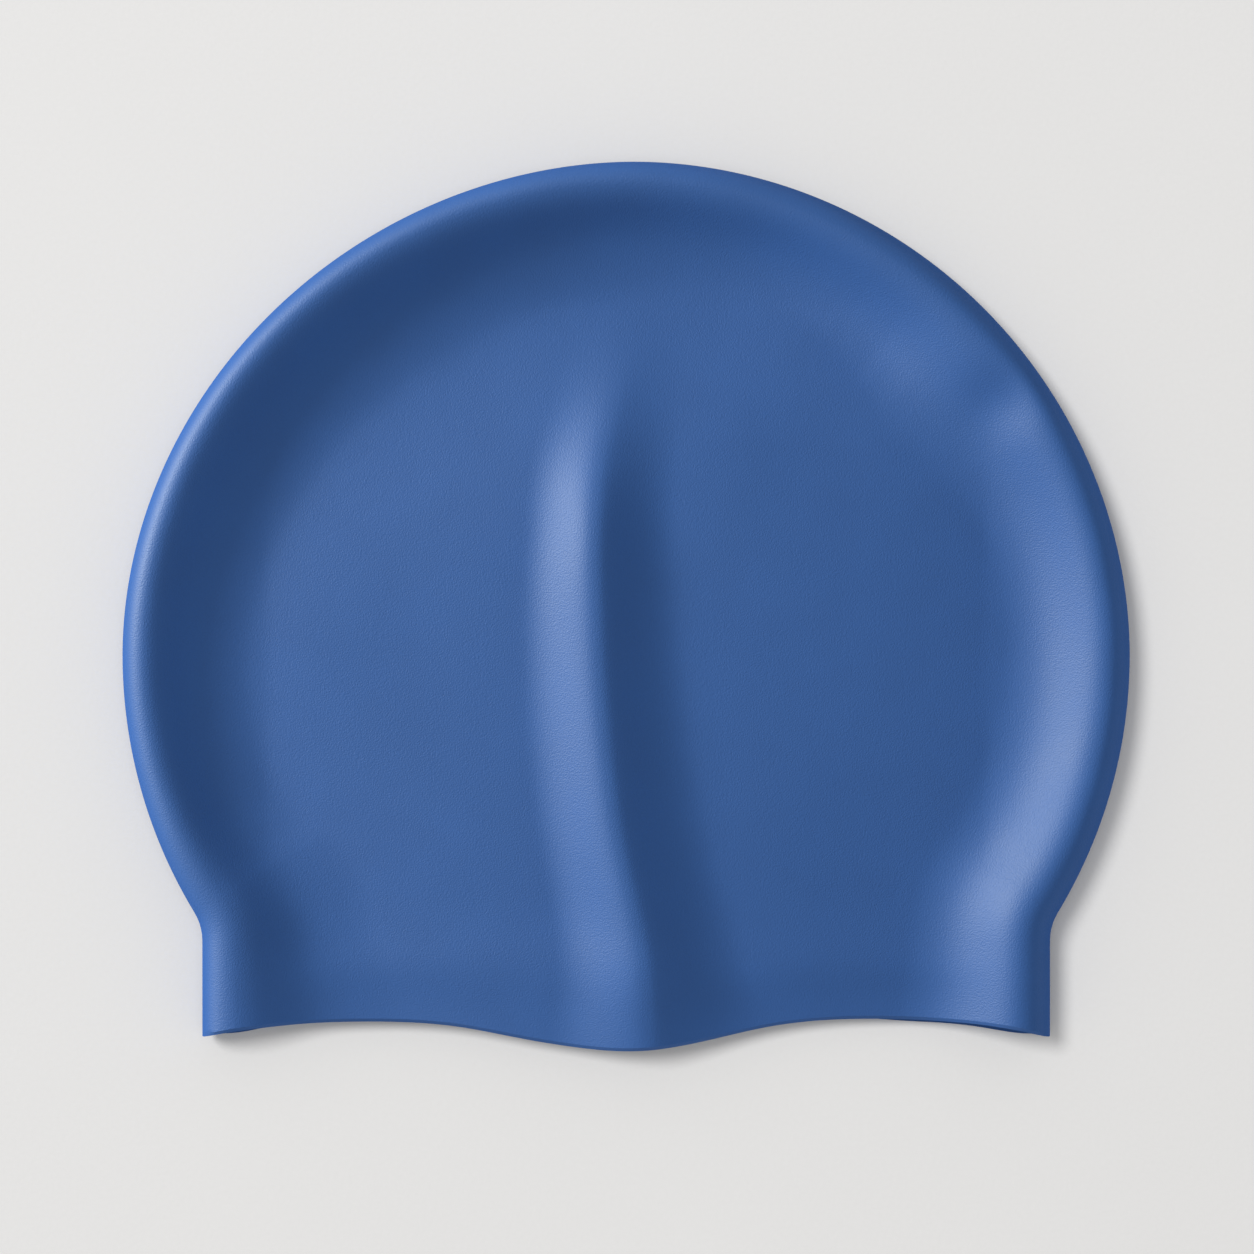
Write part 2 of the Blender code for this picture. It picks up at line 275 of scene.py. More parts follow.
inside = max(sheet.data.polygons, key=lambda face: len(face.vertices))
ring = {tuple(sorted(pair)) for pair in inside.edge_keys}
side_rows = (len(ring) - 2 * HEM_COLUMNS) // 2
number = inside.index
pick(sheet, "FACE", lambda face: face.index == number)
bpy.ops.mesh.delete(type="ONLY_FACE")
pick(sheet, "EDGE", lambda edge: tuple(sorted(edge.vertices)) in ring)
bpy.ops.mesh.fill_grid(use_interp_simple=True)
bpy.ops.mesh.select_all(action="SELECT")
bpy.ops.mesh.normals_make_consistent(inside=False)
start_clean()
print("grid:", HEM_COLUMNS, "columns,", side_rows, "rows, faces", len(sheet.data.polygons))

# %% [markdown]
# ## The edge of the hem
# The real hem shows an even dark line, because its outermost strip turns down and faces away from
# the light. A bevel could round that edge, but the hem's wave would make its faces uneven. Instead
# the flat sheet is cut once, close to the hem and along its whole length, and the strip below the
# cut is turned down later, when the heights are set.

# %% A narrow row of faces along the hem
HEM_TURN_WIDTH = 0.00075    # width of the strip that turns down at the hem

pick(sheet, "FACE", lambda face: True)
bpy.ops.mesh.bisect(plane_co=(0.0, lowest + HEM_TURN_WIDTH, 0.0), plane_no=(0.0, 1.0, 0.0))
start_clean()
print("faces with the narrow row:", len(sheet.data.polygons))

# %% [markdown]
# ## Reading a short table as a smooth curve
# The heights of the cap follow a few short tables, a row for each section. Straight lines between
# the rows would show as bands in the satin sheen. A natural cubic spline through the rows has no
# kink in its slope or in its bend, so the light glides over it.

# %% A smooth curve through a table
def read_table(table, at, column):
    """One column of a table at many places, on a smooth curve through its rows."""
    rows = np.array(table)
    steps, values = rows[:, 0], rows[:, column]
    count = len(steps)
    runs = np.diff(steps)
    slopes = np.diff(values) / runs
    system = np.eye(count)
    bends = np.zeros(count)
    for row in range(1, count - 1):
        system[row, row - 1:row + 2] = runs[row - 1], 2.0 * (runs[row - 1] + runs[row]), runs[row]
        bends[row] = 6.0 * (slopes[row] - slopes[row - 1])
    bends = np.linalg.solve(system, bends)
    at = np.clip(at, steps[0], steps[-1])
    row = np.clip(np.searchsorted(steps, at, side="right") - 1, 0, count - 2)
    run = runs[row]
    past = (at - steps[row]) / run
    left = 1.0 - past
    line = left * values[row] + past * values[row + 1]
    curve = (left ** 3 - left) * bends[row] + (past ** 3 - past) * bends[row + 1]
    return line + curve * run ** 2 / 6.0


def ease(share):
    """Smooth step from 0 to 1."""
    share = np.clip(share, 0.0, 1.0)
    return share * share * (3.0 - 2.0 * share)


hill = ((0.0, 0.0), (0.5, 1.0), (1.0, 0.0))
print("a quarter up a hill of three rows:", round(float(read_table(hill, np.array([0.25]), 1)[0]), 3))

# %% [markdown]
# ## Raising the upper sheet
# The rim, the sunken middle, the ridge and the small dents are soft forms that flow into each
# other. By hand they would be sculpted with a brush. Here each vertex of the flat sheet is raised
# by a height that is worked out from its distance to the fold line and from short tables, which is
# the same move done with measured numbers, so it can be corrected a tenth of a millimetre at a time.

# %% Distance to the fold line
def measure_fold(at):
    """Distance of each place to the fold line, and the share of the line's length up to there."""
    starts = fold_line[:-1]
    runs = np.diff(fold_line, axis=0)
    lengths = np.hypot(runs[:, 0], runs[:, 1])
    passed = np.concatenate(([0.0], np.cumsum(lengths)))
    nearest = np.full(len(at), np.inf)
    way = np.zeros(len(at))
    for start, run, length, before in zip(starts, runs, lengths, passed):
        share = np.clip((at - start) @ run / length ** 2, 0.0, 1.0)
        away = at - start - share[:, None] * run
        distance = np.hypot(away[:, 0], away[:, 1])
        closer = distance < nearest
        nearest[closer] = distance[closer]
        way[closer] = before + share[closer] * length
    return nearest, way / passed[-1]


middle_distance = measure_fold(np.array([[0.0, WIDEST_Y]]))[0][0]
print("from the middle of the widest line to the fold:", round(float(middle_distance), 4))

# %% [markdown]
# ## The rim
# Silicone springs back where it is folded, so the fold doesn't lie flat: it stands up as a rounded
# rim all round, and the upper sheet drops from it to the sunken middle. A tube along the fold line
# could stand for it, but the real rim changes on its way round, and its inner side is long and
# soft. So the rim is a table of sections along the fold line.

# %% Sections of the rim
RIM_HEIGHT = 0.0157         # top of the rim over the surface below
RIM_POWER = 2.4             # outer side of the rim, 2 is a true ellipse, more is squarer

# Rim: place as a share of the fold line's length from its left end over the crown to its right
# end, then shares of the rise, the flank's width, the inset and the deeper sinking, which is
# negative where the sheet stays higher
RIM_SECTIONS = (
    # around, rise, flank, inset, low
    (0.00, 0.92, 1.52, 1.45, 0.00),
    (0.04, 0.94, 1.26, 1.36, 0.00),
    (0.08, 0.97, 0.96, 1.18, -0.10),
    (0.12, 0.95, 0.90, 1.08, -0.28),
    (0.18, 0.94, 0.93, 1.04, -0.50),
    (0.24, 0.95, 1.00, 1.00, -0.25),
    (0.33, 0.97, 1.09, 0.92, 0.45),
    (0.40, 0.98, 1.12, 0.92, 0.85),
    (0.45, 0.98, 1.05, 0.93, 0.95),
    (0.50, 0.99, 0.97, 0.94, 1.15),
    (0.56, 1.00, 0.88, 0.98, 1.25),
    (0.62, 1.00, 0.90, 1.04, 0.85),
    (0.68, 0.99, 1.14, 1.06, 0.35),
    (0.74, 1.00, 0.94, 1.07, 0.15),
    (0.83, 1.00, 0.88, 1.12, 0.05),
    (0.92, 1.00, 0.92, 1.20, 0.15),
    (0.96, 1.03, 0.96, 1.34, 0.50),
    (1.00, 1.03, 1.04, 1.42, 0.65),
)
print("rim:", len(RIM_SECTIONS), "sections, up to", RIM_HEIGHT, "high")

# %% Inner flank of the rim
# Inner flank of the rim: share of its width, share of the drop that is still left there on the
# left half and on the right half, and where the one changes into the other
FLANK_CURVE = (
    # across, left, right
    (0.00, 1.00, 1.00),
    (0.10, 0.905, 0.925),
    (0.24, 0.63, 0.71),
    (0.40, 0.33, 0.43),
    (0.58, 0.155, 0.19),
    (0.78, 0.045, 0.045),
    (0.92, 0.004, 0.004),
    (1.00, 0.00, 0.00),
)
FLANK_CHANGE = (0.40, 0.65)
print("half of the drop is left at", FLANK_CURVE[2][0], "to", FLANK_CURVE[3][0], "of the flank's width")

# %% [markdown]
# ## The ridge
# The upper sheet has more skin than its outline needs, and the rest stands up as one long soft fold
# from the upper middle down to the lobe of the hem. It could be a Bezier curve with a profile, but
# then it would have to be blended into the sheet. As a height over the sheet it flows out by
# itself. Its left side is longer in the light, so each side has its own foot.

# %% The ridge
RIDGE_HEIGHT = 0.0060       # ridge over the upper sheet
RIDGE_FOOT = 0.0200         # crest of the ridge to its foot
RIDGE_ROUNDING = 0.0014     # soft turn at the ridge's crest
LEFT_POWER = 0.80           # below 1 a flank of the ridge is steepest near its crest
RIGHT_POWER = 0.66

# Ridge: way down from crown to hem, crest as a share of HALF_WIDTH, share of RIDGE_HEIGHT, and
# its left and right feet as shares of RIDGE_FOOT
RIDGE_SECTIONS = (
    # down, crest, height, left, right
    (0.16, 0.005, 0.00, 0.66, 0.66),
    (0.27, -0.022, 0.18, 0.66, 0.70),
    (0.33, -0.047, 0.47, 0.70, 0.80),
    (0.41, -0.060, 0.88, 0.72, 0.82),
    (0.52, -0.058, 0.97, 0.78, 0.86),
    (0.70, -0.034, 1.08, 0.82, 0.94),
    (0.80, -0.006, 1.12, 0.84, 0.98),
    (0.91, 0.036, 1.08, 0.92, 1.06),
    (1.00, 0.047, 0.70, 1.06, 1.20),
)


def way_down(y):
    """Share of the way from the crown down to the corners of the hem."""
    return (CROWN_Y - y) / (CROWN_Y - HEM_Y)


def ridge_crest(y):
    """Place across of the ridge's crest."""
    return HALF_WIDTH * read_table(RIDGE_SECTIONS, way_down(y), 1)


def ridge_lift(x, y):
    """Height of the ridge over the upper sheet."""
    down = way_down(y)
    beside = x - ridge_crest(y)
    on_left = beside < 0.0
    left_foot, right_foot = (read_table(RIDGE_SECTIONS, down, column) for column in (3, 4))
    foot = RIDGE_FOOT * np.where(on_left, left_foot, right_foot)
    away = np.sqrt(beside ** 2 + RIDGE_ROUNDING ** 2) - RIDGE_ROUNDING
    share = np.clip(away / foot, 0.0, 1.0) ** np.where(on_left, LEFT_POWER, RIGHT_POWER)
    return RIDGE_HEIGHT * read_table(RIDGE_SECTIONS, down, 2) * (1.0 + np.cos(math.pi * share)) / 2.0


print("crest at the widest line: x", round(float(ridge_crest(np.array([WIDEST_Y]))[0]), 4))

# %% [markdown]
# ## The dents
# By the rim at the upper right the skin is pressed in a little, as from the way it was packed. A
# crease could be cut there, but the real dents have no edge. Each is a soft bell, and it fades out
# towards the fold line, where the skin is too stiff to give way.

# %% The dents
DENT_RADIUS = 0.0120
DENT_DEPTH = 0.0017
DENT_FALL = 2.0             # how fast the depth falls off around a dent's middle
DENT_START = 1.5            # share of the rim's inset over which dents fade in from the fold

# Dents: angle round the dome in degrees from +X, share of the rim's width inwards from the fold,
# shares of DENT_RADIUS and DENT_DEPTH
DENTS = (
    # angle, inwards, radius, depth
    (34.5, 0.33, 0.92, 1.00),
    (51.0, 0.62, 1.20, 0.35),
)


def dent_depth(x, y):
    """Depth of the small dents."""
    depth = np.zeros_like(x)
    for angle, inwards, radius, share in DENTS:
        turn = math.radians(angle)
        reach = 1.0 - inwards * (RIM_INSET + FLANK_WIDTH) / HALF_WIDTH
        centre_x = reach * HALF_WIDTH * math.cos(turn)
        centre_y = WIDEST_Y + reach * CROWN_RISE * math.sin(turn)
        away = np.hypot(x - centre_x, y - centre_y) / (DENT_RADIUS * radius)
        depth += DENT_DEPTH * share * np.exp(-DENT_FALL * away ** 2)
    return depth


print("dents:", len(DENTS), "up to", round(1000.0 * DENT_DEPTH, 2), "mm deep")

# %% [markdown]
# ## The whole upper sheet
# All forms come together in one height. The sunken sheet is a shallow dome with the ridge and a low
# swelling near the hem on it. The rim is a quarter of a rounded square from the fold line to its
# top, and the flank leads from there down to the sunken sheet. They could be separate moves, one
# after the other, but the flank has to meet whatever the sunken sheet is at its foot.

# %% Heights of the upper sheet
PLATEAU_HEIGHT = 0.0060     # upper sheet at the foot of the rim
PLATEAU_BULGE = 0.0030      # upper sheet's rise from there to the middle
CROWN_SHARE = 0.25          # share of that rise that is left at the foot of the crown
PLATEAU_LOW = 0.0018        # how much deeper it sinks just inside the rim, at a share of 1
LOW_REACH = 0.0400          # distance over which that fades out
HEM_ROLL = 0.0007           # low swelling that runs along the hem
HEM_ROLL_IN = 0.0150        # corners of the hem up to its middle
HEM_ROLL_WIDTH = 0.0085
HEM_TURN = 0.0006           # how far the outermost strip of the hem turns down
HEM_TURN_FADE = 0.0030      # distance from the fold line over which that turn begins


def upper_height(x, y, distance, around):
    """Outer face of the upper sheet, from the fold line over the rim into the sunken middle."""
    rise = (RIM_HEIGHT - FOLD_HEIGHT) * read_table(RIM_SECTIONS, around, 1)
    width = FLANK_WIDTH * read_table(RIM_SECTIONS, around, 2)
    inset = RIM_INSET * read_table(RIM_SECTIONS, around, 3)
    low = PLATEAU_LOW * read_table(RIM_SECTIONS, around, 4)
    low *= ease(1.0 - (distance - inset - width) / LOW_REACH)
    across = x / (HALF_WIDTH - RIM_INSET - FLANK_WIDTH)
    upwards = np.clip((y - WIDEST_Y) / (CROWN_RISE - RIM_INSET - FLANK_WIDTH), 0.0, 1.0)
    bulge = PLATEAU_BULGE * np.clip(1.0 - across ** 2, 0.0, None)
    bulge *= 1.0 - (1.0 - CROWN_SHARE) * upwards ** 2
    roll = HEM_ROLL * np.exp(-((y - HEM_Y - HEM_ROLL_IN) / HEM_ROLL_WIDTH) ** 2)
    sunken = PLATEAU_HEIGHT + bulge + ridge_lift(x, y) + roll - low
    round_share = np.clip(1.0 - distance / inset, 0.0, 1.0)
    rim = FOLD_HEIGHT + rise * (1.0 - round_share ** RIM_POWER) ** (1.0 / RIM_POWER)
    inwards = (distance - inset) / width
    changed = ease((around - FLANK_CHANGE[0]) / (FLANK_CHANGE[1] - FLANK_CHANGE[0]))
    left_drop, right_drop = (read_table(FLANK_CURVE, inwards, column) for column in (1, 2))
    still_left = (1.0 - changed) * left_drop + changed * right_drop
    flank = sunken + (FOLD_HEIGHT + rise - sunken) * still_left
    turn = HEM_TURN * np.clip(1.0 - (y - HEM_Y) / HEM_TURN_WIDTH, 0.0, 1.0)
    turn *= ease(distance / HEM_TURN_FADE)
    dents = dent_depth(x, y) * ease(distance / (DENT_START * inset))
    return np.where(distance < inset, rim, flank) - dents - turn


crest = np.array([[float(ridge_crest(np.array([WIDEST_Y]))[0]), WIDEST_Y]])
crest_height = upper_height(crest[:, 0], crest[:, 1], *measure_fold(crest))
print("crest of the ridge at the widest line:", round(float(crest_height[0]), 4), "high")

# %% [markdown]
# ## Closer columns at the ridge
# The crest of the ridge is the tightest bend of the upper sheet, and the grid's even columns would
# show there as facets. The whole grid could be finer, but that costs faces where nothing bends.
# Instead the columns beside the crest are drawn closer to it, while the sheet is still flat.

# %% Draw the columns closer at the ridge
CREST_DRAW = 0.42           # share by which the columns at the crest stand closer
CREST_REACH = 0.0450        # how far to each side they are drawn
CREST_FADE = 0.0200         # over this distance inside the rings the drawing fades in
CREST_SIDE = 0.0050         # points this near to the crest are counted, before and after

flat = read_places(sheet)
distance, around = measure_fold(flat[:, :2])
beside = flat[:, 0] - ridge_crest(flat[:, 1])
near_before = int((np.abs(beside) < CREST_SIDE).sum())
fade = ease((distance - insets[-1]) / CREST_FADE)
share = np.clip(np.abs(beside) / CREST_REACH, 0.0, 1.0)
flat[:, 0] -= CREST_DRAW * fade * beside * (1.0 - share) ** 2
put_places(sheet, flat)
distance, around = measure_fold(flat[:, :2])
near_now = int((np.abs(flat[:, 0] - ridge_crest(flat[:, 1])) < CREST_SIDE).sum())
print("points within", CREST_SIDE, "m of the crest:", near_before, "before and", near_now, "now")

# %% [markdown]
# ## The lower sheet
# The lower sheet is the same outline lying flat on the surface. It could be built anew, but as a
# copy of the flat upper sheet with its faces turned over, its edge meets the other's point by
# point. From the fold line it rounds down to the surface. Both hems follow a wave with two arches
# and a lobe, and near the two ends the lower hem lies lower, so it shows below the upper one.

# %% The wave of the hem
HEM_WAVE = 0.0068           # lowest point of the hem's lobe up to the tops of its arches

# Hem of the upper sheet: place across as a share of the band's half width, height as a share of
# HEM_WAVE
UPPER_HEM = (
    # across, height
    (-1.00, 0.03),
    (-0.93, 0.25),
    (-0.84, 0.39),
    (-0.57, 0.49),
    (-0.40, 0.34),
    (-0.26, -0.01),
    (-0.02, -0.40),
    (0.20, -0.06),
    (0.34, 0.34),
    (0.53, 0.56),
    (0.77, 0.49),
    (0.93, 0.29),
    (0.98, 0.11),
    (1.00, 0.04),
)

# Hem of the lower sheet: it lies lower than the upper hem near the two ends, so it shows there
LOWER_HEM = (
    # across, height
    (-1.00, 0.03),
    (-0.93, 0.02),
    (-0.85, 0.22),
    (-0.75, 0.38),
    (-0.57, 0.49),
    (-0.40, 0.34),
    (-0.26, -0.01),
    (-0.02, -0.40),
    (0.20, -0.06),
    (0.34, 0.34),
    (0.53, 0.53),
    (0.66, 0.42),
    (0.80, 0.29),
    (0.88, 0.12),
    (0.95, 0.00),
    (1.00, 0.04),
)
print("hem:", len(UPPER_HEM), "and", len(LOWER_HEM), "rows")

# %% Raise the upper sheet and lay the lower one
UNDER_INSET = 0.0062        # fold line to where the lower sheet lies flat

work_on(sheet)
bpy.ops.object.duplicate()
under = bpy.context.object
under.name = "under_sheet"
pick(under, "FACE", lambda face: True)
bpy.ops.mesh.flip_normals()
start_clean()


def wave_hem(x, y, table):
    """Move points near the hem up or down with the hem's wave."""
    share = ease((NECK_CENTRE_Y - y) / BAND_HEIGHT)
    return y + share * HEM_WAVE * read_table(table, x / BAND_HALF_WIDTH, 1)


raised = flat.copy()
raised[:, 2] = upper_height(flat[:, 0], flat[:, 1], distance, around)
raised[:, 1] = wave_hem(flat[:, 0], flat[:, 1], UPPER_HEM)
put_places(sheet, raised)

laid = flat.copy()
under_share = np.clip(1.0 - distance / UNDER_INSET, 0.0, 1.0)
laid[:, 2] = FOLD_HEIGHT * (1.0 - np.sqrt(1.0 - under_share ** 2))
laid[:, 1] = wave_hem(flat[:, 0], flat[:, 1], LOWER_HEM)
put_places(under, laid)
print("upper sheet from", round(raised[:, 2].min(), 4), "to", round(raised[:, 2].max(), 4))

# %% [markdown]
# ## One moulding
# The real cap is one skin, so the two sheets are joined along the fold line. Its inner side could
# be modelled as a second, smaller cap. Solidify does the same in one step: it gives the skin its
# wall of one millimetre, inwards, and closes it along the hem.

# %% Join the sheets and give them a wall
WALL = 0.0010
SMOOTH_ANGLE = math.radians(30.0)   # only the edges of the hem are sharper than this

work_on(sheet)
under.select_set(True)
bpy.ops.object.join()
cap = bpy.context.object
cap.name = "cap"
cap.data.name = "cap"
edge_uses = {}
for face in cap.data.polygons:
    for key in face.edge_keys:
        edge_uses[key] = edge_uses.get(key, 0) + 1
border = {index for key, uses in edge_uses.items() if uses == 1 for index in key}
pick(cap, "VERT", lambda vertex: vertex.index in border and abs(vertex.co.z - FOLD_HEIGHT) < SAME_PLACE)
bpy.ops.mesh.remove_doubles(threshold=SAME_PLACE)
start_clean()

work_on(cap)
bpy.ops.object.modifier_add(type="SOLIDIFY")
wall = cap.modifiers[-1]
wall.thickness = WALL
wall.offset = -1.0
wall.use_even_offset = True
wall.use_quality_normals = True
bpy.ops.object.modifier_apply(modifier=wall.name)

work_on(cap)
bpy.ops.object.shade_smooth_by_angle(angle=SMOOTH_ANGLE)
print("cap:", len(cap.data.vertices), "vertices,", 2 * len(cap.data.polygons), "triangles")

# %% [markdown]
# ## Painted shade along the fold
# The outermost millimetres along the fold are painted darker: this is painted shade in the colour.
# Their reflection is also made duller and weaker. Painting that by hand would give a shaky line.
# Each vertex stores how near it is to the fold line instead, and the material reads that number.

# %% How near each vertex is to the fold
FOLD_REACH = 0.0036         # distance from the fold line over which the painted shade fades

places = read_places(cap)
# Nearness to the fold: it sets the painted shade in the colour and the duller reflection
nearness = 1.0 - ease(measure_fold(places[:, :2])[0] / FOLD_REACH)
fold_mark = cap.data.attributes.new("near_fold", "FLOAT", "POINT")
fold_mark.data.foreach_set("value", nearness.astype(np.float32))
print("near the fold:", int((nearness > 0.5).sum()), "vertices")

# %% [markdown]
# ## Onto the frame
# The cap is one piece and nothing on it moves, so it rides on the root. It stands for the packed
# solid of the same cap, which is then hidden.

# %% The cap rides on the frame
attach(cap, "root")
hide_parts("cap_shell")
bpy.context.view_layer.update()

# %% [markdown]
# ## Grain
# Moulded silicone is not perfectly even. The mould leaves a very fine grain, and the powder that
# keeps the skin from sticking lies in soft patches. A picture of silicone could be laid over it,
# but it would stretch and repeat, while noise has the right size everywhere. The paper below has
# the same two things at its own scale, so both come from one node group, which each material uses
# with its own values.

# %% A shared effect: fine grain and soft blotches
GRAIN_DETAIL = 1.5          # finer and finer layers in the noise
BLOTCH_DETAIL = 4.0


def make_fine_grain():
    """Node group that puts out a fine grain and soft blotches, both from 0 to 1."""
    group = bpy.data.node_groups.new("fine_grain", "ShaderNodeTree")
    for name, value in (("Grains per metre", 1500.0), ("Blotches per metre", 40.0)):
        socket = group.interface.new_socket(name=name, in_out="INPUT", socket_type="NodeSocketFloat")
        socket.default_value = value
    for name in ("Grain", "Blotch"):
        group.interface.new_socket(name=name, in_out="OUTPUT", socket_type="NodeSocketFloat")
    given = group.nodes.new("NodeGroupInput")
    made = group.nodes.new("NodeGroupOutput")
    place = group.nodes.new("ShaderNodeTexCoord")
    for out, scale, detail in (
        ("Grain", "Grains per metre", GRAIN_DETAIL), ("Blotch", "Blotches per metre", BLOTCH_DETAIL)
    ):
        noise = group.nodes.new("ShaderNodeTexNoise")
        noise.name = out
        noise.inputs["Detail"].default_value = detail
        group.links.new(place.outputs["Object"], noise.inputs["Vector"])
        group.links.new(given.outputs[scale], noise.inputs["Scale"])
        group.links.new(noise.outputs["Fac"], made.inputs[out])
    return group


fine_grain = make_fine_grain()
print("group:", [item.name for item in fine_grain.interface.items_tree])

# %% Fitting the grain into a material
NOISE_LOW, NOISE_HIGH = 0.30, 0.70      # nearly all values of a noise lie between these


def spread(nodes, links, source, low, high):
    """Stretch the usual range of a noise to two values."""
    node = nodes.new("ShaderNodeMapRange")
    node.inputs["From Min"].default_value = NOISE_LOW
    node.inputs["From Max"].default_value = NOISE_HIGH
    node.inputs["To Min"].default_value = low
    node.inputs["To Max"].default_value = high
    links.new(source, node.inputs["Value"])
    return node.outputs["Result"]


def grained_material(name, colour, tone, roughness, grains, blotches, relief):
    """Principled material whose colour, roughness and bump carry the grain and the blotches."""
    material = bpy.data.materials.new(name)
    material.use_nodes = True
    nodes, links = material.node_tree.nodes, material.node_tree.links
    shader = nodes["Principled BSDF"]
    grain = nodes.new("ShaderNodeGroup")
    grain.node_tree = fine_grain
    grain.inputs["Grains per metre"].default_value = grains
    grain.inputs["Blotches per metre"].default_value = blotches
    mix = nodes.new("ShaderNodeMix")
    mix.data_type = "RGBA"
    mix.inputs["A"].default_value = (*[channel * (1.0 - tone) for channel in colour], 1.0)
    mix.inputs["B"].default_value = (*[channel * (1.0 + tone) for channel in colour], 1.0)
    both = nodes.new("ShaderNodeMath")
    both.operation = "ADD"
    links.new(spread(nodes, links, grain.outputs["Blotch"], 0.0, 0.5), both.inputs[0])
    links.new(spread(nodes, links, grain.outputs["Grain"], 0.0, 0.5), both.inputs[1])
    links.new(both.outputs["Value"], mix.inputs["Factor"])
    links.new(mix.outputs["Result"], shader.inputs["Base Color"])
    links.new(spread(nodes, links, grain.outputs["Blotch"], *roughness), shader.inputs["Roughness"])
    bump = nodes.new("ShaderNodeBump")
    bump.inputs["Distance"].default_value = relief
    links.new(grain.outputs["Grain"], bump.inputs["Height"])
    links.new(bump.outputs["Normal"], shader.inputs["Normal"])
    return material


print("noise values from", NOISE_LOW, "to", NOISE_HIGH, "are stretched to the whole range")

# %% [markdown]
# ## Silicone
# The cap is royal blue silicone with a satin, slightly powdery surface. It could be one blue colour
# with a gloss on it, but then its lit sides would turn white. Its base colour is deep, and the pale
# blue of the lit flanks comes from a broad, soft reflection, so the roughness is high. A pigment
# like this runs through the whole wall, so the cut hem has the same colour. Along the fold the
# colour is painted darker, as painted shade, and the reflection there is made duller and weaker.

# %% Silicone
SILICONE = (0.026, 0.111, 0.358)
SILICONE_IOR = 1.41
SHEEN = 0.5                         # specular level of the skin
FOLD_PAINTED_SHADE = (0.78, 0.88, 0.95)      # painted shade at the fold line, as a share of the colour elsewhere
FOLD_DULLNESS = 0.30                # how much rougher the skin is at the fold line
FOLD_SHEEN = 0.15                   # specular level at the fold line

silicone = grained_material(
    "silicone", SILICONE, tone=0.06, roughness=(0.57, 0.61), grains=3000.0, blotches=60.0, relief=0.00009
)
nodes, links = silicone.node_tree.nodes, silicone.node_tree.links
shader = nodes["Principled BSDF"]
shader.inputs["IOR"].default_value = SILICONE_IOR
near_fold = nodes.new("ShaderNodeAttribute")
near_fold.attribute_name = "near_fold"
# Painted shade: the base colour is darkened along the fold by the near_fold number
deeper = nodes.new("ShaderNodeMix")
deeper.data_type = "RGBA"
deeper.blend_type = "MULTIPLY"
deeper.inputs["B"].default_value = (*FOLD_PAINTED_SHADE, 1.0)
links.new(near_fold.outputs["Fac"], deeper.inputs["Factor"])
links.new(shader.inputs["Base Color"].links[0].from_socket, deeper.inputs["A"])
links.new(deeper.outputs["Result"], shader.inputs["Base Color"])
duller = nodes.new("ShaderNodeMath")
duller.operation = "MULTIPLY_ADD"
duller.inputs[1].default_value = FOLD_DULLNESS
links.new(near_fold.outputs["Fac"], duller.inputs[0])
links.new(shader.inputs["Roughness"].links[0].from_socket, duller.inputs[2])
links.new(duller.outputs["Value"], shader.inputs["Roughness"])
less_sheen = nodes.new("ShaderNodeMapRange")
less_sheen.inputs["To Min"].default_value = SHEEN
less_sheen.inputs["To Max"].default_value = FOLD_SHEEN
links.new(near_fold.outputs["Fac"], less_sheen.inputs["Value"])
links.new(less_sheen.outputs["Result"], shader.inputs["Specular IOR Level"])
cap.data.materials.clear()
cap.data.materials.append(silicone)
print("silicone:", len(nodes), "nodes,", len(links), "links")

# %% [markdown]
# ## The set
# The cap lies on matt, warm white paper, seen from straight above. The paper could be a curved
# sweep, as in a studio, but from above only a flat piece of it shows. It isn't part of the object,
# so it is staged and not ridden.

# %% Floor
FLOOR_SIZE = 40.0
PAPER = (0.520, 0.515, 0.509)

start_clean()
bpy.ops.mesh.primitive_plane_add(size=FLOOR_SIZE, location=(0.0, 0.0, 0.0))
floor = bpy.context.object
floor.name = "floor"
paper = grained_material(
    "paper", PAPER, tone=0.012, roughness=(0.88, 0.94), grains=900.0, blotches=14.0, relief=0.00004
)
floor.data.materials.append(paper)
print("floor:", floor.name, "of", FLOOR_SIZE, "m")

# %% [markdown]
# ## Lights
# In the photo a low, soft light from the upper left draws the forms, and the sides that face away
# from it stay a deep even blue. One lamp could do it all, but then the paper and the cap would
# change together. So each lamp shines on one of them only. The cap has a key light and a sheen
# light beside it that is seen only as a reflection, which sets how strong the satin is. The paper
# has a floor light, which throws the cap's soft shadow, and a high fill light.

# %% Lights
def soft_light(name, azimuth, elevation, away, size, watts):
    """A round soft light that faces the middle of the cap."""
    lamp = bpy.data.lights.new(name, "AREA")
    lamp.shape = "DISK"
    lamp.size = size
    lamp.energy = watts
    light = bpy.data.objects.new(name, lamp)
    bpy.context.scene.collection.objects.link(light)
    turn, lift = math.radians(azimuth), math.radians(elevation)
    light.location = away * Vector((
        math.cos(lift) * math.cos(turn), math.cos(lift) * math.sin(turn), math.sin(lift)
    ))
    light.rotation_euler = (-light.location).to_track_quat("-Z", "Y").to_euler()
    return light


def light_only(light, piece):
    """Let a light shine on one object and no other."""
    receivers = bpy.data.collections.new(light.name + "_receivers")
    receivers.objects.link(piece)
    light.light_linking.receiver_collection = receivers


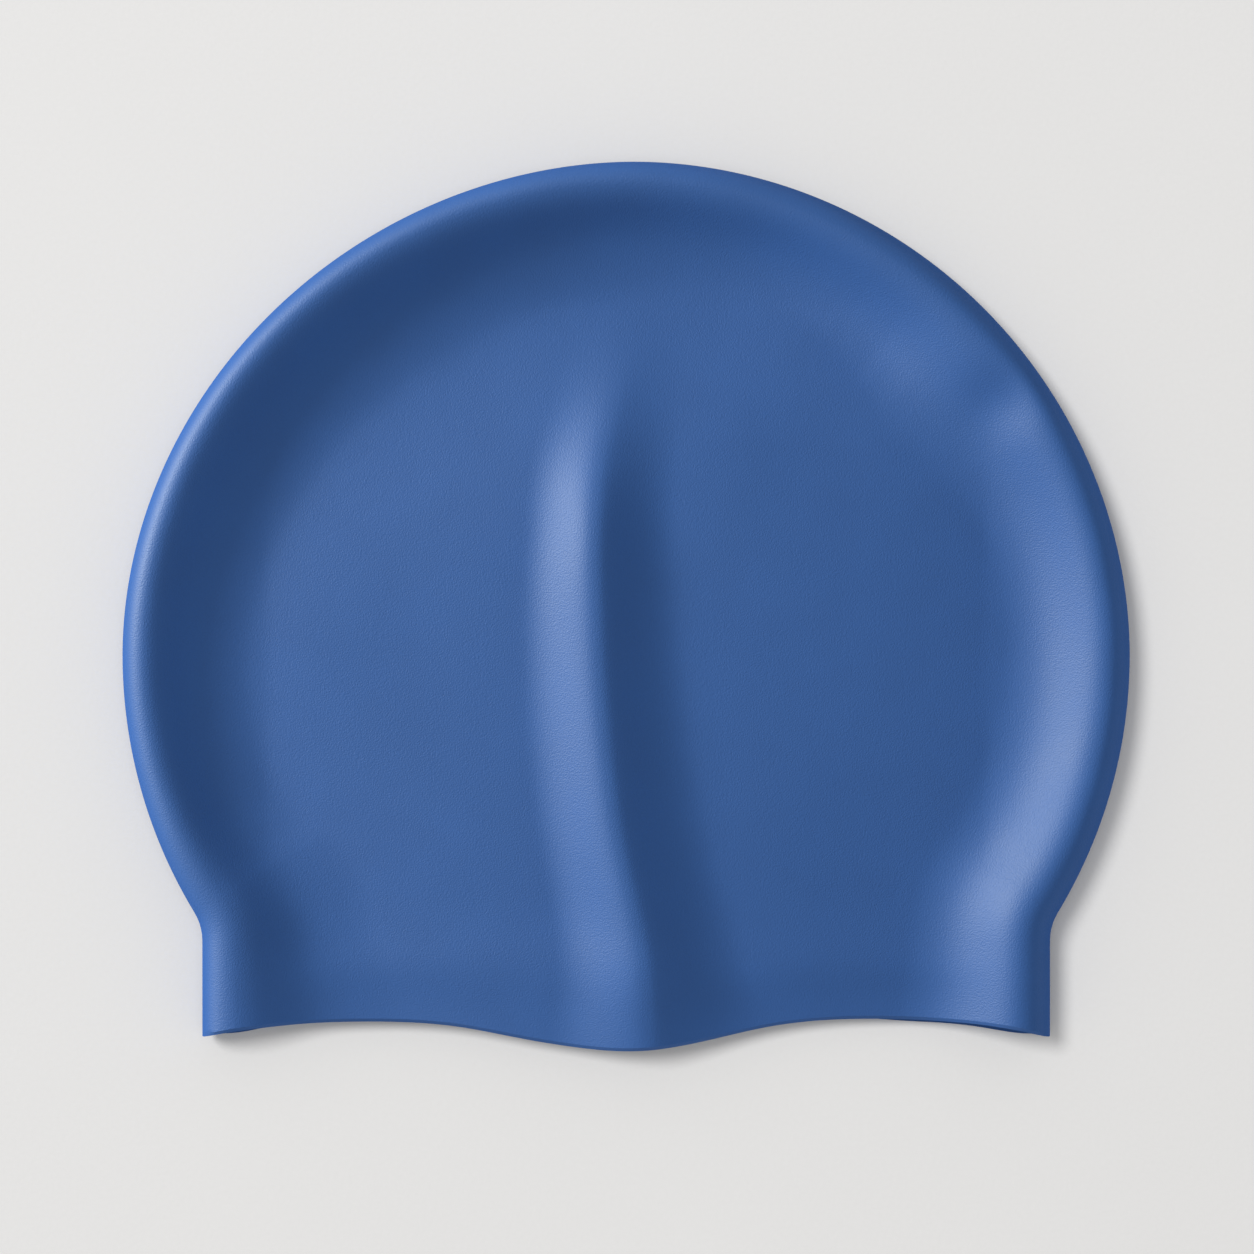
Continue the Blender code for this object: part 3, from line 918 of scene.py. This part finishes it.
KEY_AZIMUTH = 158.0
FLOOR_AZIMUTH = 146.0
SHEEN_COLOUR = (0.93, 1.0, 0.91)
LIGHTS = (
    # name, azimuth, elevation, away, size, watts, the piece that it shines on
    ("key_light", KEY_AZIMUTH, 20.0, 1.2, 0.30, 14.4, cap),
    ("sheen_light", KEY_AZIMUTH, 21.0, 1.2, 0.40, 31.0, cap),
    ("floor_light", FLOOR_AZIMUTH, 64.0, 3.0, 0.9, 69.0, floor),
    ("fill_light", FLOOR_AZIMUTH, 88.0, 3.0, 2.0, 30.0, floor),
)
lamps = {}
for name, azimuth, elevation, away, size, watts, piece in LIGHTS:
    lamps[name] = soft_light(name, azimuth, elevation, away, size, watts)
    light_only(lamps[name], piece)
lamps["sheen_light"].data.color = SHEEN_COLOUR
lamps["sheen_light"].visible_diffuse = False
print("lights:", sorted(lamps))

# %% [markdown]
# ## The room
# Even white light from all round fills the shadows, as in a pale room. More lamps could do that,
# but each would leave a highlight of its own. Where the camera looks past the paper, it sees the
# room in the paper's pale tone.

# %% Room
ROOM_LIGHT = 0.497
ROOM_TONE = (0.76, 0.75, 0.74)

world = bpy.data.worlds.new("studio")
world.use_nodes = True
nodes, links = world.node_tree.nodes, world.node_tree.links
fill = nodes["Background"]
fill.inputs["Color"].default_value = (1.0, 1.0, 1.0, 1.0)
fill.inputs["Strength"].default_value = ROOM_LIGHT
backdrop = nodes.new("ShaderNodeBackground")
backdrop.inputs["Color"].default_value = (*ROOM_TONE, 1.0)
backdrop.inputs["Strength"].default_value = 1.0
sight = nodes.new("ShaderNodeLightPath")
choice = nodes.new("ShaderNodeMixShader")
links.new(sight.outputs["Is Camera Ray"], choice.inputs["Fac"])
links.new(fill.outputs["Background"], choice.inputs[1])
links.new(backdrop.outputs["Background"], choice.inputs[2])
links.new(choice.outputs["Shader"], nodes["World Output"].inputs["Surface"])
bpy.context.scene.world = world
bpy.context.scene.view_settings.view_transform = "Standard"
print("room:", world.name, "strength", ROOM_LIGHT)

# %% [markdown]
# ## The camera
# The photo was taken from straight above with a long lens, because the rim looks equally thick on
# both sides. The camera could be orthographic, but a lens of 100 mm gives the same slight spread of
# the rim's top as the photo. Its height follows from the width that it has to show.

# %% Camera
LENS = 100.0
SENSOR = 36.0
FRAME_WIDTH = 0.2789        # width of the photograph's frame at the cap
FRAME_CENTRE = (0.0002, -0.0046)
CAP_LEVEL = 0.0073          # height at which the frame's width is measured

camera_data = bpy.data.cameras.new("camera")
camera_data.lens = LENS
camera_data.sensor_width = SENSOR
camera = bpy.data.objects.new("camera", camera_data)
bpy.context.scene.collection.objects.link(camera)
camera.location = (*FRAME_CENTRE, CAP_LEVEL + FRAME_WIDTH * LENS / SENSOR)
bpy.context.scene.camera = camera
print("camera:", round(camera.location.z, 4), "m over the floor")
